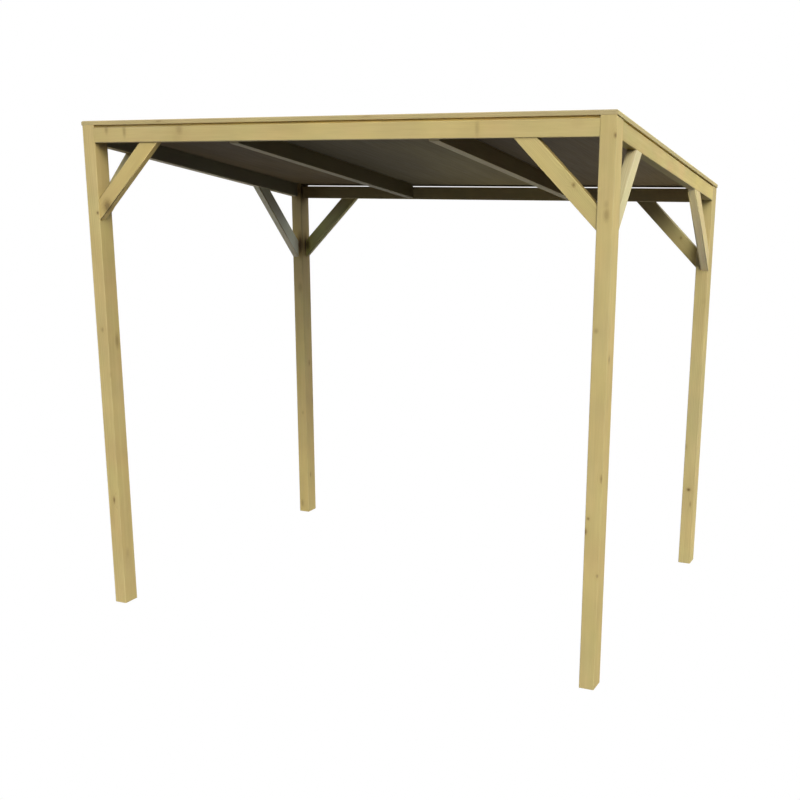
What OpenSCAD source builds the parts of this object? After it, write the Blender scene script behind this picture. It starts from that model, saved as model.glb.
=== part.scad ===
// Lean-to garden pergola.
// Four posts carry a ring of beams that falls to the back. Two rafters, eight knee braces,
// a flat roof deck in three panels and a mitred edge trim complete it.
// The front is -Y, up is +Z, and the origin is on the ground under the middle.

/* [Overall] */
// Width over the posts
width = 2400; // [1800:10:3400]
// Depth over the posts, from front to back
depth = 1833; // [1400:1:2800]
// Height of the front posts at their front face
front_height = 2211; // [1800:1:2800]
// How much lower the roof is at the back face than at the front face
roof_fall = 272; // [0:1:450]

/* [Posts] */
// Post section, from left to right
post_w = 62; // [45:1:120]
// Post section, from front to back
post_d = 87; // [70:1:140]

/* [Beams and rafters] */
beam_h = 64; // [45:1:160]
// Thickness of the front beam and the back beam
beam_t = 66; // [40:1:68]
// Thickness of the side beams
side_t = 40; // [36:1:60]
// Height of the rafters, square to the slope
rafter_h = 71; // [45:1:160]
// Thickness of a rafter
rafter_t = 44; // [30:1:80]
// Distance between the two rafters, from centre to centre
rafter_spacing = 918; // [400:2:1500]
// Height of the shadow gap between the front beam and the trim, at the front face
front_gap = 10; // [4:1:20]
// Gap between the back beam and the roof plane, at the back face
back_gap = 5; // [2:1:30]
// Height of the shadow gap between the side beams and the trim, square to the slope
side_gap = 8; // [3:1:20]
// How far the shadow gaps are cut back into the front and side beams
gap_depth = 9; // [4:1:20]
// Bevel on the long edges of the planed timber
arris = 2; // [0.5:0.5:4]

/* [Knee braces] */
// How far below the front or back beam the braces reach down their post
brace_reach = 331; // [220:4:600]
// Width of a brace across its face
brace_w = 66; // [40:1:110]
// Thickness of a brace
brace_t = 35; // [25:1:45]
// How far the front and back braces stand back from the faces of the posts
brace_setback = 5; // [0:1:16]

/* [Roof] */
// Thickness of the edge trim
trim_t = 19; // [15:1:40]
// Width of the edge trim from above
trim_w = 44; // [30:1:56]
// How far the trim stands out past the posts at the sides
trim_overhang = 4; // [0:1:20]
// Bevel along the upper outer edge of the trim
trim_bevel = 5; // [1:0.5:12]
// Thickness of the roof deck
deck_t = 14; // [9:1:15]
// Gap between two deck panels
deck_gap = 2; // [1:0.5:6]

/* [Hidden] */

pine = "#c4b27a";
dark_deck = "#4d4639";

// The roof plane: the underside of the deck and trim, and the top of all that carries them.
slope = roof_fall / depth;
pitch = atan(slope);
function roof_z(y) = front_height - slope * (y + depth / 2);
// Upright measure of something that is t thick square to the slope
function upright(t) = t / cos(pitch);

half_w = width / 2;
half_d = depth / 2;
post_x = half_w - post_w / 2;
post_y = half_d - post_d / 2;
bay_x = half_w - post_w;
bay_y = half_d - post_d;
rafter_x = rafter_spacing / 2;
brace_y = half_d - brace_setback - brace_t / 2;

front_beam_z = front_height - front_gap - beam_h;
back_beam_z = front_height - roof_fall - back_gap - beam_h;

trim_x = half_w + trim_overhang;
trim_y = half_d;
deck_x = trim_x - trim_w;
deck_y = trim_y - trim_w;

// Section of a planed timber with its four long edges bevelled, from the origin corner
module planed(w, h) {
    polygon([
        [arris, 0], [w - arris, 0], [w, arris], [w, h - arris],
        [w - arris, h], [arris, h], [0, h - arris], [0, arris]
    ]);
}

// A beam section with its outer face at x = 0. The face stops at h, and above it the
// section is cut back for the shadow gap and goes on up to top.
module rebated(w, h, top) {
    polygon([
        [arris, 0], [w - arris, 0], [w, arris], [w, top], [gap_depth, top],
        [gap_depth, h], [arris, h], [0, h - arris], [0, arris]
    ]);
}

// A shape drawn in the Y-Z plane, carried across the pergola from x0 to x1
module across(x0, x1) {
    translate([x0, 0, 0])
        rotate([90, 0, 90])
            linear_extrude(x1 - x0)
                children();
}

// Everything under the roof plane
module under_roof() {
    across(-width, width)
        polygon([[-depth, 0], [depth, 0], [depth, roof_z(depth)], [-depth, roof_z(-depth)]]);
}

// A level beam between two posts, with its section at y0 and z0 and kept under the roof plane
module level_beam(y0, z0) {
    intersection() {
        across(-bay_x, bay_x)
            translate([y0, z0])
                children();
        under_roof();
    }
}

// A section drawn square to the slope, with y as the depth below the roof plane,
// carried down the slope past the front and back of the pergola
module down_slope() {
    translate([0, -half_d, front_height])
        rotate([-90 - pitch, 0, 0])
            translate([0, 0, -post_d])
                linear_extrude(upright(depth) + 2 * post_d)
                    children();
}

// A timber that falls with the roof, its section drawn under the roof plane, plumb cut at
// the ends that stand y1 in front of and behind the middle
module falling_timber(y1) {
    intersection() {
        down_slope()
            children();
        translate([-width, -y1, 0])
            cube([2 * width, 2 * y1, 2 * front_height]);
    }
}

module post(side, end) {
    color(pine)
        intersection() {
            translate([side * post_x - post_w / 2, end * post_y - post_d / 2, 0])
                linear_extrude(2 * front_height)
                    planed(post_w, post_d);
            under_roof();
        }
}

module beam_front() {
    color(pine)
        level_beam(-half_d, front_beam_z)
            rebated(beam_t, beam_h, beam_h + front_gap);
}

module beam_back() {
    color(pine)
        level_beam(half_d - beam_t, back_beam_z)
            planed(beam_t, beam_h);
}

module beam_side(side) {
    color(pine)
        falling_timber(bay_y)
            translate([side * half_w, side_gap + beam_h])
                mirror([side > 0 ? 1 : 0, 0])
                    mirror([0, 1])
                        rebated(side_t, beam_h, beam_h + side_gap);
}

module rafter(side) {
    color(pine)
        falling_timber(half_d - beam_t)
            translate([side * rafter_x - rafter_t / 2, 0])
                planed(rafter_t, rafter_h);
}

// A brace at 45 degrees. The post is at x = 0 and the brace leans out along +x and up along +y.
// It meets the post drop below the origin, and its top is cut to a beam whose underside
// leaves the post at the origin and rises by rise.
module knee_brace(drop, rise) {
    room = 2 * drop;
    intersection() {
        translate([0, -drop, 0])
            rotate(45)
                rotate([90, 0, 90])
                    linear_extrude(2 * room, center = true)
                        planed(brace_w, brace_t);
        linear_extrude(brace_t)
            polygon([[0, 0], [room, rise * room], [room, -room], [0, -room]]);
    }
}

// Brace between a post and a level beam
module level_brace(side, y, z0) {
    color(pine)
        mirror([side > 0 ? 1 : 0, 0, 0])
            translate([-bay_x, y + brace_t / 2, z0])
                rotate([90, 0, 0])
                    knee_brace(brace_reach, 0);
}

// Brace between a post and a falling side beam, flush with their outer face.
// end is -1 at the front posts and 1 at the back posts. It meets the post at the same
// height as that post's other brace.
module side_brace(side, end) {
    z0 = roof_z(end * bay_y) - upright(side_gap + beam_h);
    foot_z = (end < 0 ? front_beam_z : back_beam_z) - brace_reach;
    color(pine)
        mirror([side > 0 ? 1 : 0, 0, 0])
            translate([-half_w, 0, z0])
                mirror([0, end > 0 ? 1 : 0, 0])
                    translate([0, -bay_y, 0])
                        rotate([90, 0, 90])
                            knee_brace(z0 - foot_z, end * slope);
}

// One deck panel between two upright joints
module deck_panel(x0, x1) {
    color(dark_deck) roof_sheet(x0, x1, deck_y, deck_t);
}

// A sheet of thickness t that lies in the roof plane, from x0 to x1 and out to y at front and back
module roof_sheet(x0, x1, y, t) {
    across(x0, x1)
        polygon([
            [-y, roof_z(-y)], [y, roof_z(y)],
            [y, roof_z(y) + upright(t)], [-y, roof_z(-y) + upright(t)]
        ]);
}

// The whole edge band before it is parted, with a bevel along its upper outer edge
module edge_band() {
    lip = trim_t - trim_bevel;
    inner_x = trim_x - trim_bevel;
    inner_y = trim_y - trim_bevel;
    intersection() {
        across(-trim_x, trim_x)
            polygon([
                [-trim_y, roof_z(-trim_y)], [trim_y, roof_z(trim_y)],
                [trim_y, roof_z(trim_y) + upright(lip)],
                [inner_y, roof_z(inner_y) + upright(trim_t)],
                [-inner_y, roof_z(-inner_y) + upright(trim_t)],
                [-trim_y, roof_z(-trim_y) + upright(lip)]
            ]);
        down_slope()
            polygon([
                [-trim_x, trim_t], [trim_x, trim_t], [trim_x, -lip],
                [inner_x, -trim_t], [-inner_x, -trim_t], [-trim_x, -lip]
            ]);
    }
}

// Plan of a mitred board along one side, from one corner to the next
module mitred_plan(a, b) {
    linear_extrude(2 * front_height)
        polygon([a, b, [b.x - sign(b.x) * trim_w, b.y - sign(b.y) * trim_w],
                 [a.x - sign(a.x) * trim_w, a.y - sign(a.y) * trim_w]]);
}

module trim_board(a, b) {
    color(pine)
        intersection() {
            edge_band();
            mitred_plan(a, b);
        }
}

post(-1, -1);  // post_front_left
post(1, -1);  // post_front_right
post(-1, 1);  // post_back_left
post(1, 1);  // post_back_right
beam_front();
beam_back();
beam_side(-1);  // beam_left
beam_side(1);  // beam_right
rafter(-1);  // rafter_left
rafter(1);  // rafter_right
level_brace(-1, -brace_y, front_beam_z);  // brace_front_left
level_brace(1, -brace_y, front_beam_z);  // brace_front_right
level_brace(-1, brace_y, back_beam_z);  // brace_back_left
level_brace(1, brace_y, back_beam_z);  // brace_back_right
side_brace(-1, -1);  // brace_left_front
side_brace(-1, 1);  // brace_left_back
side_brace(1, -1);  // brace_right_front
side_brace(1, 1);  // brace_right_back
deck_panel(-deck_x, -rafter_x - deck_gap / 2);  // deck_left
deck_panel(-rafter_x + deck_gap / 2, rafter_x - deck_gap / 2);  // deck_middle
deck_panel(rafter_x + deck_gap / 2, deck_x);  // deck_right
trim_board([-trim_x, -trim_y], [trim_x, -trim_y]);  // trim_front
trim_board([trim_x, trim_y], [-trim_x, trim_y]);  // trim_back
trim_board([-trim_x, trim_y], [-trim_x, -trim_y]);  // trim_left
trim_board([trim_x, -trim_y], [trim_x, trim_y]);  // trim_right
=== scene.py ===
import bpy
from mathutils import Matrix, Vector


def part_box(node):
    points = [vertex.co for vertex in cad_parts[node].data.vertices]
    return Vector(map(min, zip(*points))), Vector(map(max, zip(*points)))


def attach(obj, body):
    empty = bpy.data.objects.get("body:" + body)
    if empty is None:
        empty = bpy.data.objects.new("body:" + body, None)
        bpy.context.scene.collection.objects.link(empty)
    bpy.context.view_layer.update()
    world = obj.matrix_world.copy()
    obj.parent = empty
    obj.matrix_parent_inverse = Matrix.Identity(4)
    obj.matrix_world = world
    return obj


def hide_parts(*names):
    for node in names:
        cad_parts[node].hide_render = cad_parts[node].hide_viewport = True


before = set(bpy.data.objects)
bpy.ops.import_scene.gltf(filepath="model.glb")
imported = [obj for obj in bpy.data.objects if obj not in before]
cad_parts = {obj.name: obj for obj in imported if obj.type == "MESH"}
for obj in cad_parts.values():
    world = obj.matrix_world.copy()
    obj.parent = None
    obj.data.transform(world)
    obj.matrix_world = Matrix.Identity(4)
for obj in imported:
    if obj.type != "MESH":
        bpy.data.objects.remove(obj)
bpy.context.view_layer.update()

import math
import random

import bmesh
import bpy
from mathutils import Matrix, Vector

print("frame loaded,", len(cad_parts), "parts")

scene = bpy.context.scene


# small helpers for shader trees

def addNode(tree, kind, **values):
    node = tree.nodes.new(kind)
    for name, value in values.items():
        setattr(node, name, value)
    return node


def plug(tree, value, socket):
    # a number or colour is typed into the socket, anything else is linked
    if isinstance(value, (int, float, tuple)):
        socket.default_value = value
    else:
        tree.links.new(value, socket)


def maths(tree, operation, *values):
    node = addNode(tree, "ShaderNodeMath", operation=operation)
    for socket, value in zip(node.inputs, values):
        plug(tree, value, socket)
    return node.outputs[0]


def vectorMaths(tree, operation, *values):
    node = addNode(tree, "ShaderNodeVectorMath", operation=operation)
    for socket, value in zip([i for i in node.inputs if i.enabled], values):
        plug(tree, value, socket)
    return [o for o in node.outputs if o.enabled][0]


def separate(tree, vector):
    node = addNode(tree, "ShaderNodeSeparateXYZ")
    plug(tree, vector, node.inputs[0])
    return node.outputs


def ramped(tree, value, low, high, toLow=0.0, toHigh=1.0, smooth=True):
    kind = "SMOOTHSTEP" if smooth else "LINEAR"
    node = addNode(tree, "ShaderNodeMapRange", interpolation_type=kind)
    for socket, v in zip(node.inputs, (value, low, high, toLow, toHigh)):
        plug(tree, v, socket)
    return node.outputs[0]


def noise(tree, place, cells, detail=2.0, rough=0.5):
    # cells is how many fit in a metre, in each direction
    node = addNode(tree, "ShaderNodeTexNoise", noise_dimensions="3D")
    plug(tree, vectorMaths(tree, "MULTIPLY", place, cells), node.inputs["Vector"])
    for name, value in (("Scale", 1.0), ("Detail", detail), ("Roughness", rough)):
        node.inputs[name].default_value = value
    return node.outputs


def grey(tree, value):
    node = addNode(tree, "ShaderNodeCombineColor")
    for socket in node.inputs:
        plug(tree, value, socket)
    return node.outputs[0]


def blend(tree, amount, first, second, mode="MIX"):
    node = addNode(tree, "ShaderNodeMix", data_type="RGBA", blend_type=mode)
    for index, value in ((0, amount), (6, first), (7, second)):  # the sockets of a colour blend
        plug(tree, value, node.inputs[index])
    return node.outputs[2]


def tinted(tree, color, tint, amount=1.0):
    return blend(tree, amount, color, tint, mode="MULTIPLY")


def attribute(tree, name):
    return addNode(tree, "ShaderNodeAttribute", attribute_name=name).outputs["Vector"]


def bumped(tree, height, strength, depth):
    node = addNode(tree, "ShaderNodeBump")
    for name, value in (("Strength", strength), ("Distance", depth), ("Height", height)):
        plug(tree, value, node.inputs[name])
    return node.outputs[0]


def newGroup(name, inputs, outputs):
    tree = bpy.data.node_groups.new(name, "ShaderNodeTree")
    for way, sockets in (("INPUT", inputs), ("OUTPUT", outputs)):
        for socket, kind in sockets.items():
            tree.interface.new_socket(socket, in_out=way, socket_type="NodeSocket" + kind)
    start = addNode(tree, "NodeGroupInput").outputs
    end = addNode(tree, "NodeGroupOutput").inputs
    return tree, start, end


def newMaterial(name):
    material = bpy.data.materials.new(name)
    material.use_nodes = True
    tree = material.node_tree
    tree.nodes.clear()
    shader = addNode(tree, "ShaderNodeBsdfPrincipled")
    output = addNode(tree, "ShaderNodeOutputMaterial")
    tree.links.new(shader.outputs[0], output.inputs[0])
    return material, tree, shader.inputs


# pine: growth rings round a pith, fibres, knots where each timber has them, and rubbed edges

pine = {
    "earlyWood": (0.560, 0.452, 0.196, 1),
    "lateWood": (0.430, 0.318, 0.120, 1),
    "greyed": (0.440, 0.392, 0.215, 1),
    "sapwood": (0.640, 0.540, 0.262, 1),
    "rubbed": (0.660, 0.560, 0.300, 1),
    "knotHeart": (0.105, 0.060, 0.020, 1),
    "knotRim": (0.310, 0.215, 0.075, 1),
    "ringWidth": 0.0034,  # metres from one ring to the next
    "ringWander": 2.2,  # how far their lines wander, in rings
    "ringSharpness": 2.6,
    "ringDepth": 0.40,
    "ringBend": 0.009,  # metres that they swing out round a knot
    "pithStray": 0.015,  # metres that the pith strays to each side
    "streakDepth": 0.30,
    "greying": 0.30,
    "cloudShades": (1.045, 0.945),
    "fibreShades": (1.04, 0.955),
    "mottle": 0.10,  # how strongly the hue wanders from patch to patch
    "haloDepth": 0.22,
    "rimDepth": 0.75,
    "heartDepth": 0.90,
    "rub": 0.30,  # how pale the rubbed edges are
    "rubReach": (0.0015, 0.0062),  # metres from an edge to where the rubbing thins out and ends
    "rubWander": 0.004,
    "rubFade": 0.01,  # metres over which the rubbing stops below another timber
    "dullness": (0.60, 0.74),
    "lateGloss": 0.06,  # how much less dull the late wood is
    "knotGloss": 0.15,
    "sheen": 0.3,
    "relief": 0.35,  # how strong the grain's bumps are
    "reliefDepth": 0.0006,  # and how deep, in metres
    "fibreHeight": 0.65,  # what fibres, late wood and knots add to the bumps
    "lateHeight": 0.35,
    "knotHeight": 0.50,
}

# noise cells in a metre, along the grain and across it both ways
grainCells = {
    "pith": (0.8, 0, 0),
    "years": (0.5, 26, 26),
    "fibre": (9, 420, 420),
    "streak": (0.9, 48, 48),
    "cloud": (4.5, 8, 8),
    "weather": (0.9, 3, 3),
    "patch": (6, 10, 10),
    "rub": (14, 70, 70),
}

# the noise values over which each layer comes or goes
grainLimits = {
    "darkStreak": (0.50, 0.78),
    "paleStreak": (0.24, 0.46),
    "weather": (0.45, 0.80),
    "cloud": (0.30, 0.72),
    "fibre": (0.30, 0.70),
}

# each part of a knot is full up to the first distance and gone at the second, in sizes of the knot
knotParts = {"Heart": (0.35, 0.95), "Rim": (0.75, 1.7), "Halo": (1.0, 4.5)}
knotRagged = 0.7  # how uneven its outline is, in sizes of the knot
knotCells = (240, 240, 240)  # in a metre, of the noise that makes it so


def makeKnotShape():
    # how far inside one knot a point lies: its heart, the rim round it and the wood that bends past it
    inputs = {"Place": "Vector", "Middle": "Vector", "Size": "Vector", "Depth": "Float"}
    tree, start, end = newGroup("knotShape", inputs, {name: "Float" for name in knotParts})
    away = vectorMaths(tree, "SUBTRACT", start["Place"], start["Middle"])
    distance = vectorMaths(tree, "LENGTH", vectorMaths(tree, "DIVIDE", away, start["Size"]))
    ragged = noise(tree, start["Place"], knotCells)["Fac"]
    unevenness = maths(tree, "MULTIPLY_ADD", ragged, knotRagged, -knotRagged / 2)
    distance = maths(tree, "ADD", distance, unevenness)
    depth = start["Depth"]
    strengths = {"Heart": maths(tree, "MULTIPLY", depth, depth), "Rim": depth, "Halo": depth}
    for name, (full, gone) in knotParts.items():
        inside = ramped(tree, distance, full, gone, 1.0, 0.0)
        plug(tree, maths(tree, "MULTIPLY", inside, strengths[name]), end[name])
    return tree


def lateWood(tree, place, halo):
    # 1 in the dark part of each ring and 0 between the rings
    stray = pine["pithStray"]
    wander = noise(tree, place, grainCells["pith"], detail=1.0)["Color"]
    drift = vectorMaths(tree, "MULTIPLY_ADD", wander, (0, 2 * stray, 2 * stray), (0, -stray, -stray))
    _, acrossY, acrossZ = separate(tree, vectorMaths(tree, "ADD", place, drift))
    squared = maths(tree, "MULTIPLY_ADD", acrossY, acrossY, maths(tree, "MULTIPLY", acrossZ, acrossZ))
    bent = maths(tree, "MULTIPLY_ADD", halo, pine["ringBend"], maths(tree, "SQRT", squared))
    slowYears = noise(tree, place, grainCells["years"], detail=1.0)["Fac"]
    rings = maths(tree, "DIVIDE", bent, pine["ringWidth"])
    years = maths(tree, "MULTIPLY_ADD", slowYears, pine["ringWander"], rings)
    wave = maths(tree, "SINE", maths(tree, "MULTIPLY", years, 2 * math.pi))
    return maths(tree, "POWER", maths(tree, "MULTIPLY_ADD", wave, 0.5, 0.5), pine["ringSharpness"])


def clearWood(tree, place, late, fibre, mottle):
    # the wood's colour between its knots
    streak = noise(tree, place, grainCells["streak"], detail=3.0, rough=0.55)["Fac"]
    cloud = noise(tree, place, grainCells["cloud"])["Fac"]
    weather = noise(tree, place, grainCells["weather"], detail=1.0)["Fac"]
    darkStreaks = ramped(tree, streak, *grainLimits["darkStreak"], 0.0, pine["streakDepth"])
    paleStreaks = ramped(tree, streak, *grainLimits["paleStreak"], pine["streakDepth"], 0.0)
    greying = ramped(tree, weather, *grainLimits["weather"], 0.0, pine["greying"])
    color = blend(tree, maths(tree, "MULTIPLY", late, pine["ringDepth"]), pine["earlyWood"], pine["lateWood"])
    color = blend(tree, darkStreaks, color, pine["lateWood"])
    color = blend(tree, paleStreaks, color, pine["sapwood"])
    color = blend(tree, greying, color, pine["greyed"])
    cloudy = ramped(tree, cloud, *grainLimits["cloud"], *pine["cloudShades"])
    fibrous = ramped(tree, fibre, *grainLimits["fibre"], *pine["fibreShades"], smooth=False)
    color = tinted(tree, color, grey(tree, maths(tree, "MULTIPLY", cloudy, fibrous)))
    # patches a little pinker or greener than the rest
    patches = noise(tree, place, grainCells["patch"], detail=1.0)["Color"]
    hue = vectorMaths(tree, "SCALE", vectorMaths(tree, "SUBTRACT", patches, (0.5, 0.5, 0.5)), mottle)
    return tinted(tree, color, vectorMaths(tree, "ADD", hue, (1, 1, 1)))


def rubbedEdge(tree, place, section, halfSection):
    # 1 at the nearest long edge of the timber, and 0 where the rubbing ends
    inwards = vectorMaths(tree, "SUBTRACT", halfSection, vectorMaths(tree, "ABSOLUTE", section))
    _, sideRoom, thirdRoom = separate(tree, inwards)
    toEdge = maths(tree, "MAXIMUM", sideRoom, thirdRoom)
    wander = noise(tree, place, grainCells["rub"])["Fac"]
    toEdge = maths(tree, "MULTIPLY_ADD", wander, pine["rubWander"], toEdge)
    return ramped(tree, toEdge, *pine["rubReach"], 1.0, 0.0)


def makePineGrain():
    vectors = {name: "Vector" for name in ("Place", "Section", "Half")}
    floats = {name: "Float" for name in ("Heart", "Rim", "Halo", "Mottle", "Rub")}
    outputs = {"Color": "Color", "Roughness": "Float", "Height": "Float"}
    tree, start, end = newGroup("pineGrain", {**vectors, **floats}, outputs)
    place = start["Place"]
    late = lateWood(tree, place, start["Halo"])
    fibre = noise(tree, place, grainCells["fibre"], detail=3.0, rough=0.65)["Fac"]
    color = clearWood(tree, place, late, fibre, start["Mottle"])
    edge = rubbedEdge(tree, place, start["Section"], start["Half"])
    layers = (
        (start["Halo"], pine["haloDepth"], pine["lateWood"]),
        (start["Rim"], pine["rimDepth"], pine["knotRim"]),
        (start["Heart"], pine["heartDepth"], pine["knotHeart"]),
        (edge, start["Rub"], pine["rubbed"]),
    )
    for amount, depth, layer in layers:
        color = blend(tree, maths(tree, "MULTIPLY", amount, depth), color, layer)
    # late wood and knots are a little smoother than the rest, and stand up a little
    rough = ramped(tree, fibre, *grainLimits["fibre"], *pine["dullness"])
    rough = maths(tree, "MULTIPLY_ADD", late, -pine["lateGloss"], rough)
    rough = maths(tree, "MULTIPLY_ADD", start["Heart"], -pine["knotGloss"], rough)
    height = maths(tree, "MULTIPLY", fibre, pine["fibreHeight"])
    height = maths(tree, "MULTIPLY_ADD", late, pine["lateHeight"], height)
    height = maths(tree, "MULTIPLY_ADD", start["Heart"], pine["knotHeight"], height)
    for name, value in (("Color", color), ("Roughness", rough), ("Height", height)):
        plug(tree, value, end[name])
    return tree


knotShape = makeKnotShape()
pineGrain = makePineGrain()


def makePine(name, knotsAndPaintedShade, look):
    material, tree, shader = newMaterial(name)
    grain = addNode(tree, "ShaderNodeGroup", node_tree=pineGrain)
    place = addNode(tree, "ShaderNodeTexCoord").outputs["Object"]
    strongest = {part: 0.0 for part in knotParts}
    # each is a knot, or a patch of painted shade given a knot's shape
    for middle, size, depth in knotsAndPaintedShade:
        knot = addNode(tree, "ShaderNodeGroup", node_tree=knotShape)
        for socket, value in (("Place", place), ("Middle", middle), ("Size", size), ("Depth", depth)):
            plug(tree, value, knot.inputs[socket])
        for part in knotParts:
            strongest[part] = maths(tree, "MAXIMUM", strongest[part], knot.outputs[part])
    rub = pine["rub"]
    if "rubBelow" in look:
        # no rubbed edge where another timber butts against it
        height, limit = separate(tree, place)[2], look["rubBelow"]
        rub = ramped(tree, height, limit - pine["rubFade"], limit, rub, 0.0)
    given = {
        "Place": attribute(tree, "grainPlace"),
        "Section": attribute(tree, "section"),
        "Half": attribute(tree, "halfSection"),
        "Mottle": look.get("mottle", pine["mottle"]),
        "Rub": rub,
    }
    for socket, value in {**given, **strongest}.items():
        plug(tree, value, grain.inputs[socket])
    # the piece's tint times the painted shade and light of each face
    color = tinted(tree, grain.outputs["Color"], attribute(tree, "tintAndPaintedShade"))
    plug(tree, color, shader["Base Color"])
    plug(tree, grain.outputs["Roughness"], shader["Roughness"])
    plug(tree, pine["sheen"], shader["Specular IOR Level"])
    plug(tree, bumped(tree, grain.outputs["Height"], pine["relief"], pine["reliefDepth"]), shader["Normal"])
    return material


# timbers: each is the plain part with its edges eased, cut from its own stretch of a trunk

shaping = {
    "weld": 0.00002,  # metres between points that are really one
    "flat": 0.5,  # degrees between faces that are really one
    "sharp": 20,  # degrees between faces, from which their edge is eased
    "alongGrain": 0.9,  # how well a long edge follows the grain, 1 being parallel
    "sameFacing": 0.92,  # how well a face's direction fits a shade's, 1 being the same
    "sameSide": 0.001,  # metres by which the points of one side may differ
    "setBack": 0.006,  # metres from which a face lies in a shadow gap
    "firstCut": 3.1,  # metres along the trunk to the middle of the first timber
    "nextCut": 2.7,  # and from each timber's middle to the next one's
}


def mergedCopy(name):
    # the plain part's shape, welded and with its flat faces whole again
    shape = bmesh.new()
    shape.from_mesh(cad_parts[name].data)
    bmesh.ops.remove_doubles(shape, verts=shape.verts, dist=shaping["weld"])
    flat = math.radians(shaping["flat"])
    bmesh.ops.dissolve_limit(shape, angle_limit=flat, verts=shape.verts, edges=shape.edges)
    return shape


def grainAxes(shape):
    # the grain runs along the longest edge; the other two axes are square to it
    longest = max(shape.edges, key=lambda e: e.calc_length())
    along = (longest.verts[1].co - longest.verts[0].co).normalized()
    if max(along, key=abs) < 0:
        along.negate()
    worldAxes = (Vector((1, 0, 0)), Vector((0, 1, 0)), Vector((0, 0, 1)))
    side = min(worldAxes, key=lambda v: abs(v.dot(along)))
    side = (side - along * side.dot(along)).normalized()
    return along, side, along.cross(side)


# a few more knots, on the back and left faces
hidden = {
    "margin": 0.012,  # metres that they keep from the timber's edges
    "thin": 0.03,  # metres; a side no wider than this has its knots in its middle
    "size": (0.004, 0.009),
    "stretch": 1.6,  # how much longer they are along the timber
    "depth": (0.4, 0.9),
}


def hiddenKnots(node, perMetre):
    draw = random.Random(node)  # a fixed draw for each timber
    low, high = (Vector(v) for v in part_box(node))
    span = high - low
    margin, thin = hidden["margin"], hidden["thin"]
    found = []
    for _ in range(round(max(span) * perMetre)):
        middle = Vector([
            draw.uniform(a + margin, b - margin) if b - a > thin else (a + b) / 2
            for a, b in zip(low, high)
        ])
        if draw.random() < 0.5:
            middle.x = low.x
        else:
            middle.y = high.y
        size = draw.uniform(*hidden["size"])
        stretched = tuple(size * (hidden["stretch"] if s == max(span) else 1.0) for s in span)
        found.append((tuple(middle), stretched, draw.uniform(*hidden["depth"])))
    return found


def liftCorners(shape, up, shallow, deep, rise):
    # corners that lie so deep under the timber's top stand a little higher than in the plain part
    top = max(v.co.dot(up) for v in shape.verts)
    for v in shape.verts:
        if shallow <= top - v.co.dot(up) <= deep:
            v.co += up * rise


def thickenInwards(shape, extra):
    # the face towards the middle of the frame stands a little further in than in the plain part
    inner = min(abs(v.co.x) for v in shape.verts)
    for v in shape.verts:
        if abs(v.co.x) < inner + shaping["sameSide"]:
            v.co.x -= math.copysign(extra, v.co.x)


def easeEdges(shape, along, group):
    limit = math.radians(shaping["sharp"])
    sharp = [e for e in shape.edges if len(e.link_faces) == 2 and e.calc_face_angle(0) > limit]
    if group.get("squareEnds"):
        # saw cuts that butt against another timber stay crisp, only the long edges are eased
        directions = {e: (e.verts[1].co - e.verts[0].co).normalized() for e in sharp}
        sharp = [e for e in sharp if abs(directions[e].dot(along)) > shaping["alongGrain"]]
    bmesh.ops.bevel(
        shape, geom=sharp, affect="EDGES", offset=group["softness"],
        segments=2, profile=0.5, clamp_overlap=True,
    )


def paintedFaceShades(mesh, look, reaches):
    # painted shade and light: each face of a timber gets its own painted shade for how the light falls on it,
    # which may change from one end to the other, and so does a face set back in a shadow gap
    tintsAndShades = []
    for face in mesh.polygons:
        shades = [(1, 1, 1)]
        for facing, *given in look.get("faces", ()):
            if face.normal.dot(Vector(facing).normalized()) > shaping["sameFacing"]:
                shades = given
        outermost = max(v.co.dot(face.normal) for v in mesh.vertices)
        if "gap" in look and outermost - face.center.dot(face.normal) > shaping["setBack"]:
            shades = [look["gap"]]
        channels = list(zip(look["tint"], shades[0], shades[-1]))
        for index in face.vertices:
            tintsAndShades += [tint * (first + (last - first) * reaches[index]) for tint, first, last in channels]
    return tintsAndShades


def buildTimber(node, material, group, look, ending="_timber"):
    shape = mergedCopy(node)
    along, side, third = grainAxes(shape)
    if "lift" in look:
        liftCorners(shape, third if third.z > 0 else -third, *look["lift"])
    if "thicken" in look:
        thickenInwards(shape, look["thicken"])
    axes = (along, side, third)
    spans = [[v.co.dot(axis) for v in shape.verts] for axis in axes]
    middle = [(min(s) + max(s)) / 2 for s in spans]
    half = [(max(s) - min(s)) / 2 for s in spans]
    easeEdges(shape, along, group)
    mesh = bpy.data.meshes.new(node + ending)
    shape.to_mesh(mesh)
    shape.free()

    # where each point lies in the trunk, and in the timber's own section
    shift = shaping["firstCut"] + shaping["nextCut"] * len(timbers)
    places, sections, reaches = [], [], []
    for v in mesh.vertices:
        own = [v.co.dot(axis) - m for axis, m in zip(axes, middle)]
        places += [own[0] + shift, own[1] + look["pith"][0], own[2] + look["pith"][1]]
        sections += own
        reaches.append((own[0] / half[0] + 1) / 2)
    halves = half * len(mesh.vertices)
    for name, values in (("grainPlace", places), ("section", sections), ("halfSection", halves)):
        mesh.attributes.new(name, "FLOAT_VECTOR", "POINT").data.foreach_set("vector", values)
    tintsAndShades = paintedFaceShades(mesh, look, reaches)
    mesh.attributes.new("tintAndPaintedShade", "FLOAT_VECTOR", "CORNER").data.foreach_set("vector", tintsAndShades)

    mesh.shade_smooth()
    mesh.materials.append(material)
    piece = bpy.data.objects.new(node + ending, mesh)
    scene.collection.objects.link(piece)
    piece.modifiers.new("flatFaces", "WEIGHTED_NORMAL").keep_sharp = False
    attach(piece, "root")
    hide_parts(node)
    timbers.append(piece)


def buildPine(group):
    for node, look in group["pieces"].items():
        knotsAndPaintedShade = look.get("knotsAndPaintedShade", []) + hiddenKnots(node, group["knotsPerMetre"])
        buildTimber(node, makePine("pine_" + node, knotsAndPaintedShade, look), group, look)


timbers = []

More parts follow.
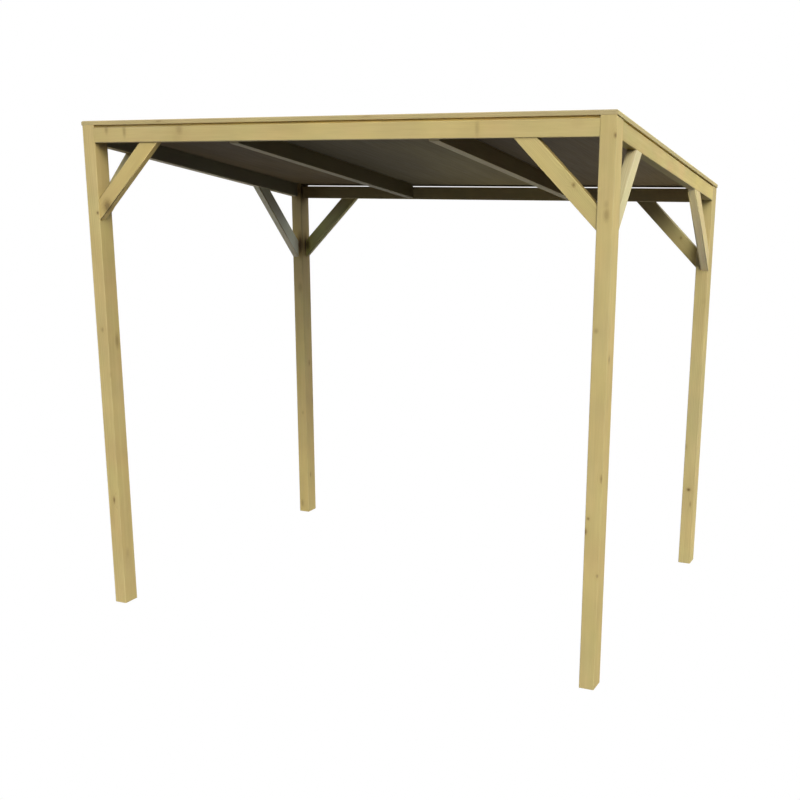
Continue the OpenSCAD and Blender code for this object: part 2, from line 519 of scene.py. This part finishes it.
# directions that faces look in
toRight = (1, 0, 0)
toFront = (0, -1, 0)
frontRight = (1, -1, 0)
rightUp = (1, 0, 1)
rightDown = (1, 0, -1)
frontUp = (0, -1, 1)
frontDown = (0, -1, -1)
trimTopEdge = (0, -1, 0.5)
underRoof = (0, -0.15, -1)  # square to the roof

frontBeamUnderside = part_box("beam_front")[0][2]  # metres above ground

# the tints partly, and the shades of faces wholly, are painted shade and light;
# where a face has two shades, the first is at the timber's foot, or at its left or front end
posts = {
    "softness": 0.0009,  # metres by which the edges are eased
    "knotsPerMetre": 2.0,  # of the hidden ones
    "pieces": {
        "post_front_left": {
            "pith": (0.041, -0.062),  # metres across the grain, from the trunk's middle to the timber's
            "tint": (0.99, 0.95, 0.92),  # times the wood's colour
            "rubBelow": frontBeamUnderside,  # its edges are rubbed up to here
            "faces": [  # direction and painted shade
                (toRight, (0.87, 0.86, 0.83)),
                (frontRight, (0.86, 0.86, 0.86)),
            ],
            "knotsAndPaintedShade": [  # middle, half sizes and depth of colour
                ((-1.147, -0.917, 1.839), (0.006, 0.006, 0.007), 0.85),
                ((-1.166, -0.917, 1.320), (0.007, 0.007, 0.010), 0.50),
                ((-1.138, -0.854, 1.263), (0.011, 0.011, 0.032), 0.56),
                ((-1.139, -0.914, 1.115), (0.005, 0.005, 0.014), 0.30),
                ((-1.166, -0.917, 0.515), (0.006, 0.006, 0.016), 0.80),
                ((-1.138, -0.879, 0.244), (0.009, 0.009, 0.022), 0.30),
            ],
        },
        "post_front_right": {
            "pith": (-0.055, 0.050),
            "tint": (1.01, 0.97, 0.93),
            "rubBelow": frontBeamUnderside,
            "faces": [
                (toRight, (0.91, 0.89, 0.85), (1.02, 1.01, 0.97)),
                (frontRight, (0.82, 0.82, 0.82)),
            ],
            "knotsAndPaintedShade": [
                ((1.197, -0.917, 2.141), (0.006, 0.006, 0.009), 0.75),
                ((1.173, -0.917, 1.900), (0.008, 0.008, 0.014), 0.32),
                ((1.175, -0.917, 1.864), (0.010, 0.010, 0.022), 0.48),
                ((1.153, -0.917, 1.443), (0.008, 0.008, 0.009), 0.45),
                ((1.200, -0.890, 1.334), (0.006, 0.006, 0.015), 0.80),
                ((1.198, -0.920, 0.878), (0.006, 0.006, 0.017), 0.90),
                ((1.151, -0.917, 0.714), (0.005, 0.005, 0.006), 0.75),
                ((1.142, -0.917, 0.660), (0.006, 0.006, 0.012), 0.80),
                ((1.197, -0.917, 0.485), (0.005, 0.005, 0.007), 0.65),
            ],
        },
        "post_back_left": {
            "pith": (0.030, 0.071),
            "tint": (1.02, 0.98, 0.92),
            "faces": [
                (toFront, (1.10, 1.07, 1.03), (1.26, 1.23, 1.20)),
                (toRight, (0.94, 0.91, 0.88), (0.78, 0.75, 0.72)),
            ],
            "knotsAndPaintedShade": [
                # painted shade at the top of its inner face, under the beams, given a knot's shape
                ((-1.138, 0.858, 1.912), (0.036, 0.050, 0.052), 0.95),
                # painted shadows beside the feet of its two braces, given a knot's shape
                ((-1.149, 0.830, 1.606), (0.017, 0.017, 0.060), 1.00),
                ((-1.138, 0.872, 1.606), (0.017, 0.017, 0.055), 1.00),
                ((-1.156, 0.830, 1.363), (0.012, 0.012, 0.024), 0.35),
                ((-1.138, 0.879, 0.913), (0.008, 0.008, 0.017), 0.55),
                ((-1.138, 0.906, 0.681), (0.006, 0.006, 0.030), 0.45),
                ((-1.162, 0.830, 0.618), (0.006, 0.006, 0.010), 0.35),
                ((-1.138, 0.863, 0.229), (0.007, 0.007, 0.014), 0.55),
                ((-1.181, 0.830, 0.052), (0.008, 0.008, 0.022), 0.50),
            ],
        },
        "post_back_right": {
            "pith": (-0.048, -0.058),
            "tint": (0.98, 0.96, 0.95),
            "faces": [
                (toRight, (1.07, 1.06, 1.02), (0.96, 0.95, 0.89)),
                (toFront, (1.04, 1.04, 1.04), (1, 1, 1)),
                (frontRight, (0.86, 0.86, 0.86)),
            ],
            "knotsAndPaintedShade": [
                ((1.185, 0.830, 1.385), (0.009, 0.009, 0.011), 0.15),
                ((1.170, 0.830, 0.405), (0.010, 0.010, 0.009), 0.90),
                ((1.183, 0.830, 0.327), (0.005, 0.005, 0.014), 0.50),
                ((1.143, 0.830, 0.633), (0.006, 0.006, 0.013), 0.40),
            ],
        },
    },
}
buildPine(posts)
print("posts built")

ledgeLift = (0.0060, 0.0110, 0.0020)  # the floor of the side beams' rebate
# the tints partly, and the shades of faces and gaps wholly, are painted shade and light
beams = {
    "softness": 0.0009,
    "squareEnds": True,
    "knotsPerMetre": 1.6,
    "pieces": {
        "beam_front": {
            "pith": (0.062, -0.045),
            "tint": (1.00, 0.96, 0.91),
            "gap": (0.92, 0.86, 0.64),  # the painted shade of what is set back under the roof
            "faces": [
                # painted shade on its eased top edge, lighter at its left end and darker at its right
                (frontUp, (1.10, 1.10, 1.10), (0.45, 0.45, 0.47)),
            ],
            "knotsAndPaintedShade": [  # cut lengthwise, so they run up its face
                ((-1.069, -0.917, 2.192), (0.008, 0.008, 0.018), 0.46),
                ((-0.973, -0.917, 2.184), (0.008, 0.008, 0.024), 0.48),
                ((-0.686, -0.917, 2.187), (0.015, 0.015, 0.020), 0.40),
                ((-0.700, -0.917, 2.155), (0.020, 0.020, 0.016), 0.16),
                ((0.665, -0.917, 2.172), (0.008, 0.008, 0.026), 0.34),
                ((1.055, -0.917, 2.184), (0.020, 0.020, 0.014), 0.12),
            ],
        },
        "beam_back": {
            "pith": (-0.050, 0.060),
            "tint": (1.0, 0.99, 0.97),
            "lift": (-0.0001, 0.0030, 0.0012),  # corners from so deep to so deep under its top rise so much
            "knotsAndPaintedShade": [
                ((-1.115, 0.850, 1.910), (0.120, 0.120, 0.100), 0.62),  # painted shade in the corner beside its post, given a knot's shape
            ],
        },
        "beam_left": {
            "pith": (0.040, 0.066),
            "tint": (1.0, 0.99, 0.97),
            "lift": ledgeLift,
            "faces": [
                (toRight, (0.50, 0.56, 0.68)),
                (underRoof, (1.45, 1.52, 1.75)),
            ],
        },
        "beam_right": {
            "pith": (-0.043, 0.070),
            "tint": (0.98, 0.94, 0.87),
            "mottle": 0.2,
            "lift": ledgeLift,
            # painted light in its shadow gap
            "gap": (1.30, 1.36, 1.15),
            "faces": [
                (underRoof, (0.80, 0.81, 0.60)),
                (toRight, (0.91, 0.92, 0.91), (1.20, 1.22, 1.12)),
            ],
        },
        "rafter_left": {
            "pith": (0.050, -0.060),
            "tint": (0.98, 0.98, 0.98),
            "faces": [
                (toRight, (0.48, 0.48, 0.44)),
                (underRoof, (0.88, 0.90, 0.95), (0.80, 0.84, 0.95)),
            ],
        },
        "rafter_right": {
            "pith": (-0.052, 0.064),
            "tint": (1.35, 1.36, 1.36),
            "faces": [
                (toRight, (0.41, 0.38, 0.31)),
                (underRoof, (0.86, 0.86, 0.86)),
            ],
        },
    },
}
buildPine(beams)
print("beams and rafters built")

sideBraceExtra = 0.003  # metres that the side braces are thicker than in the plain part
# the tints partly, and the shades of faces wholly, are painted shade and light
braces = {
    "softness": 0.0008,
    "squareEnds": True,
    "knotsPerMetre": 2.0,
    "pieces": {
        "brace_front_left": {
            "pith": (0.034, 0.052),
            "tint": (1.01, 0.93, 0.85),
            "faces": [
                (rightDown, (1.80, 1.75, 1.35), (0.85, 0.83, 0.62)),
                (toFront, (1.10, 1.11, 1.06), (0.90, 0.93, 0.88)),
            ],
            "knotsAndPaintedShade": [
                ((-1.094, -0.912, 1.868), (0.022, 0.022, 0.029), 0.78),
            ],
        },
        "brace_front_right": {
            "pith": (-0.044, 0.048),
            "tint": (0.91, 0.89, 0.83),
            "faces": [
                (rightUp, (0.50, 0.46, 0.38)),
            ],
            "knotsAndPaintedShade": [
                ((1.046, -0.912, 1.969), (0.007, 0.007, 0.008), 0.70),
                ((1.018, -0.912, 2.032), (0.009, 0.009, 0.011), 0.35),
            ],
        },
        "brace_back_left": {
            "pith": (0.038, -0.046),
            "tint": (0.98, 1.05, 0.85),
            "mottle": 0.35,
            "faces": [
                (toFront, (1.30, 1.42, 1.25), (0.88, 0.86, 1.05)),
            ],
            "knotsAndPaintedShade": [
                # painted shadow at its foot beside the post, given a knot's shape
                ((-1.128, 0.876, 1.604), (0.016, 0.016, 0.034), 0.85),
            ],
        },
        "brace_back_right": {  # its first shade is at its top
            "pith": (0.030, 0.055),
            "tint": (1.0, 1.0, 0.97),
            "faces": [
                (toFront, (0.86, 0.89, 1.00), (1.30, 1.28, 1.18)),
            ],
            "knotsAndPaintedShade": [
                ((1.045, 0.876, 1.694), (0.006, 0.006, 0.008), 0.65),
            ],
        },
        "brace_left_front": {
            "pith": (-0.036, 0.050),
            "tint": (1.12, 1.09, 1.02),
            "thicken": sideBraceExtra,
        },
        "brace_left_back": {
            "pith": (0.042, -0.044),
            "tint": (1.0, 1.0, 1.0),
            "thicken": sideBraceExtra,
            "faces": [
                (frontDown, (1.60, 1.72, 2.10)),
                (toRight, (1.75, 2.15, 3.70)),
            ],
        },
        "brace_right_front": {
            "pith": (-0.040, -0.047),
            "tint": (0.82, 0.84, 1.08),
            "thicken": sideBraceExtra,
            "faces": [
                (toRight, (1.34, 1.38, 1.36)),
            ],
        },
        "brace_right_back": {
            "pith": (0.033, 0.049),
            "tint": (1.0, 1.0, 1.0),
            "thicken": sideBraceExtra,
            "faces": [
                (frontDown, (2.00, 1.96, 2.00), (1.84, 1.80, 1.84)),
                (toRight, (1.17, 1.16, 1.28)),
            ],
        },
    },
}
buildPine(braces)
print("braces built")

# the tints partly, and the shades of faces wholly, are painted shade and light
trims = {
    "softness": 0.0008,
    "knotsPerMetre": 1.4,
    "pieces": {
        "trim_front": {
            "pith": (0.085, 0.030),
            "tint": (0.89, 0.86, 0.90),
            "faces": [
                (underRoof, (1.70, 1.65, 1.30)),
                (trimTopEdge, (0.74, 0.74, 0.74)),
            ],
            "knotsAndPaintedShade": [
                ((-0.790, -0.9205, 2.222), (0.013, 0.006, 0.006), 0.50),
                ((0.200, -0.9205, 2.224), (0.020, 0.006, 0.006), 0.35),
            ],
        },
        "trim_back": {
            "pith": (-0.080, 0.034),
            "tint": (0.90, 0.90, 0.95),
        },
        "trim_left": {
            "pith": (0.078, -0.036),
            "tint": (0.90, 0.90, 0.95),
        },
        "trim_right": {
            "pith": (-0.074, 0.040),
            "tint": (0.92, 0.92, 0.93),
            "faces": [
                (underRoof, (1.30, 1.34, 1.20)),
            ],
        },
    },
}
buildPine(trims)
print("edge trim built")


# roof deck: dark stained boards

deckPith = (0.2, 0.1)
deckTint = (1.50, 1.34, 0.82)
deck = {
    "softness": 0.0007,
    "stain": (0.095, 0.074, 0.040, 1),
    "stainWorn": (0.130, 0.104, 0.060, 1),
    "grainDark": (0.055, 0.042, 0.022, 1),
    # noise cells in a metre, and the noise values over which each layer comes or goes
    "cells": {"fibre": (5, 220, 220), "streak": (1.2, 40, 40), "cloud": (1.4, 3.2, 3.2)},
    "limits": {"fibre": (0.45, 0.75), "streak": (0.40, 0.70), "cloud": (0.30, 0.75), "dull": (0.30, 0.70)},
    "wornDepth": 0.8,
    "streakDepths": (-0.10, 0.25),
    "fibreDepth": 0.25,
    "halfLength": 0.9,  # metres from a board's middle to where the painted shade along and across it ends
    "halfWidth": 0.46,
    "skin": 0.002,  # metres from a board's middle to where it counts as its top or its underside
    "dullness": (0.50, 0.64),
    "topDullness": 0.32,  # and so much more on the weathered top
    "sheen": 0.3,
    "relief": 0.3,
    "reliefDepth": 0.0005,
    # on the underside, painted shade and light: the face shade, then how pale it is at the high end and at
    # the low end of the roof, and cross, how much paler it gets from the middle to the right
    "pieces": {
        "deck_left": {
            "pith": deckPith,
            "tint": deckTint,
            "faces": [(underRoof, (0.85, 0.79, 0.63))],
            "paintedEnds": (0.85, 1.35),
            "cross": 0.0,
        },
        "deck_middle": {
            "pith": deckPith,
            "tint": deckTint,
            "faces": [(underRoof, (1.12, 1.18, 1.02))],
            "paintedEnds": (0.65, 1.65),
            "cross": 0.48,
        },
        "deck_right": {
            "pith": deckPith,
            "tint": deckTint,
            "faces": [(underRoof, (1.10, 1.08, 0.99))],
            "paintedEnds": (0.65, 1.65),
            "cross": 0.40,
        },
    },
}


def makeDeckStain(name, look):
    material, tree, shader = newMaterial(name)
    place = attribute(tree, "grainPlace")
    cells, limits = deck["cells"], deck["limits"]
    fibre = noise(tree, place, cells["fibre"], detail=3.0, rough=0.6)["Fac"]
    streak = noise(tree, place, cells["streak"], detail=3.0, rough=0.6)["Fac"]
    cloud = noise(tree, place, cells["cloud"], detail=3.0)["Fac"]
    worn = ramped(tree, cloud, *limits["cloud"], 0.0, deck["wornDepth"])
    worn = maths(tree, "ADD", worn, ramped(tree, streak, *limits["streak"], *deck["streakDepths"]))
    fibrous = ramped(tree, fibre, *limits["fibre"], 0.0, deck["fibreDepth"])
    color = blend(tree, worn, deck["stain"], deck["stainWorn"])
    color = blend(tree, fibrous, color, deck["grainDark"])
    # the board's tint times the painted shade and light of each face
    color = tinted(tree, color, attribute(tree, "tintAndPaintedShade"))

    # painted shade on the underside: paler towards the low end of the roof and away from the rafter at its
    # left, darker where shade falls by the front beam and the rafter
    length, width, skin = deck["halfLength"], deck["halfWidth"], deck["skin"]
    lengthwise, sideways, downwards = separate(tree, attribute(tree, "section"))
    paintedAlong = ramped(tree, lengthwise, -length, length, *look["paintedEnds"], smooth=False)
    paintedAcross = ramped(tree, sideways, -width, width, 1 - look["cross"], 1 + look["cross"], smooth=False)
    below = ramped(tree, downwards, -skin, skin)
    color = tinted(tree, color, grey(tree, maths(tree, "MULTIPLY", paintedAlong, paintedAcross)), below)

    rough = ramped(tree, fibre, *limits["dull"], *deck["dullness"])
    extra = ramped(tree, downwards, -skin, skin, deck["topDullness"], 0.0)
    plug(tree, color, shader["Base Color"])
    plug(tree, maths(tree, "ADD", rough, extra), shader["Roughness"])
    plug(tree, deck["sheen"], shader["Specular IOR Level"])
    plug(tree, bumped(tree, fibre, deck["relief"], deck["reliefDepth"]), shader["Normal"])
    return material


for node, look in deck["pieces"].items():
    buildTimber(node, makeDeckStain("stain_" + node, look), deck, look, "_boards")
print("deck built")


# floor, light and camera

studio = {
    "floorRadius": 220.0,
    "floorSides": 96,
    "floorGlow": 1.0,  # an even white floor that shows no shadow
    "room": (0.92, 1.00, 1.16),
    "horizon": 0.24,  # brightness of the room low down
    "overhead": 0.90,  # and straight up
    "rightGain": 0.70,  # the right side is this much brighter, the left as much darker
    "softbox": (7.95, 7.90, 7.05),
    "softboxAt": (314, 34),  # degrees round from the right side, and degrees up
    "softboxCore": 6,  # degrees from its middle to where it starts to fade
    "softboxEdge": 31,  # and to where it has faded out
    "leftFill": (1.55, 1.82, 2.40),
    "backFill": (1.05, 1.05, 1.05),
    "floorSheen": (0.22, 0.22, 0.22),  # far floor, seen only as a sheen on the underside of the roof
    "fromBelow": (1.60, 1.74, 2.60),  # bounced straight up under the roof
}

# where each light sets in and where it is full, as heights or distances on a ball of radius 1
reach = {
    "sky": (-0.06, 0.10),
    "leftFill": (-0.6, -0.95),
    "backFill": (0.2, 0.8),
    "backHeight": (0.0, 0.35),
    "fromBelow": (-0.88, -0.97),
    "sheen": (0.2, 0.7),
    "sheenHeight": (-0.65, -0.40),
    "sheenTop": (0.05, -0.05),
}


def makeFloor():
    shape = bmesh.new()
    sides, radius = studio["floorSides"], studio["floorRadius"]
    bmesh.ops.create_circle(shape, cap_ends=True, segments=sides, radius=radius)
    mesh = bpy.data.meshes.new("studioFloor")
    shape.to_mesh(mesh)
    shape.free()
    floor = bpy.data.objects.new("studioFloor", mesh)
    scene.collection.objects.link(floor)
    material, tree, shader = newMaterial("paleFloor")
    glowing = {
        "Base Color": (0, 0, 0, 1),
        "Roughness": 1.0,
        "Specular IOR Level": 0.0,
        "Emission Color": (1, 1, 1, 1),
        "Emission Strength": studio["floorGlow"],
    }
    for socket, value in glowing.items():
        plug(tree, value, shader[socket])
    mesh.materials.append(material)
    # the floor is only seen: the light from below comes from the sky's own underside
    floor.visible_diffuse = False
    floor.visible_glossy = False
    floor.visible_shadow = False


def makeSky():
    world = bpy.data.worlds.new("studioSky")
    scene.world = world
    world.use_nodes = True
    tree = world.node_tree
    tree.nodes.clear()
    where = addNode(tree, "ShaderNodeTexCoord").outputs["Generated"]
    rightward, backward, height = separate(tree, where)

    def lamp(color, *factors):
        # a light's colour, times how much of it shines from this direction
        strength = factors[0]
        for factor in factors[1:]:
            strength = maths(tree, "MULTIPLY", strength, factor)
        return vectorMaths(tree, "SCALE", color, strength)

    def within(measure, name):
        return ramped(tree, measure, *reach[name])

    above = within(height, "sky")
    room = ramped(tree, height, 0.0, 1.0, studio["horizon"], studio["overhead"], smooth=False)
    towardsRight = maths(tree, "MULTIPLY_ADD", rightward, studio["rightGain"], 1.0)
    turned, up = (math.radians(a) for a in studio["softboxAt"])
    aim = (math.cos(up) * math.cos(turned), math.cos(up) * math.sin(turned), math.sin(up))
    towards = vectorMaths(tree, "DOT_PRODUCT", where, aim)
    core, edge = (math.cos(math.radians(studio[k])) for k in ("softboxCore", "softboxEdge"))
    farFloor = (within(backward, "sheen"), within(height, "sheenHeight"), within(height, "sheenTop"))
    lamps = [
        lamp(studio["room"], room, towardsRight, above),
        lamp(studio["softbox"], ramped(tree, towards, edge, core), above),
        lamp(studio["leftFill"], within(rightward, "leftFill"), above),
        lamp(studio["backFill"], within(backward, "backFill"), within(height, "backHeight")),
        lamp(studio["fromBelow"], within(height, "fromBelow")),
        lamp(studio["floorSheen"], *farFloor),
    ]
    together = lamps[0]
    for extra in lamps[1:]:
        together = vectorMaths(tree, "ADD", together, extra)

    # what is seen behind it all is plain white
    pick = addNode(tree, "ShaderNodeMixShader")
    plug(tree, addNode(tree, "ShaderNodeLightPath").outputs["Is Camera Ray"], pick.inputs[0])
    for color, socket in ((together, pick.inputs[1]), ((1, 1, 1, 1), pick.inputs[2])):
        background = addNode(tree, "ShaderNodeBackground")
        plug(tree, color, background.inputs[0])
        plug(tree, background.outputs[0], socket)
    output = addNode(tree, "ShaderNodeOutputWorld")
    plug(tree, pick.outputs[0], output.inputs[0])


camera = {
    "place": (2.4083, -5.1539, 2.0138),
    "pitch": -14.939,  # degrees, down
    "turn": 24.971,  # degrees, to the left
    "roll": 0.020,
    "lens": 52.849,
    "sensor": 36,
    "shift": (-0.0263, 0.1069),
    "farthest": 600,  # metres, well past the floor's edge
}


def makeCamera():
    data = bpy.data.cameras.new("viewCamera")
    data.lens = camera["lens"]
    data.sensor_width = camera["sensor"]
    data.shift_x, data.shift_y = camera["shift"]
    data.clip_end = camera["farthest"]
    body = bpy.data.objects.new("viewCamera", data)
    scene.collection.objects.link(body)
    turn = Matrix.Rotation(math.radians(camera["turn"]), 4, "Z")
    tilt = Matrix.Rotation(math.radians(90 + camera["pitch"]), 4, "X")
    roll = Matrix.Rotation(math.radians(camera["roll"]), 4, "Z")
    body.matrix_world = Matrix.Translation(camera["place"]) @ turn @ tilt @ roll
    scene.camera = body


makeFloor()
makeSky()
makeCamera()
scene.view_settings.view_transform = "Standard"
print("floor, light and camera ready")
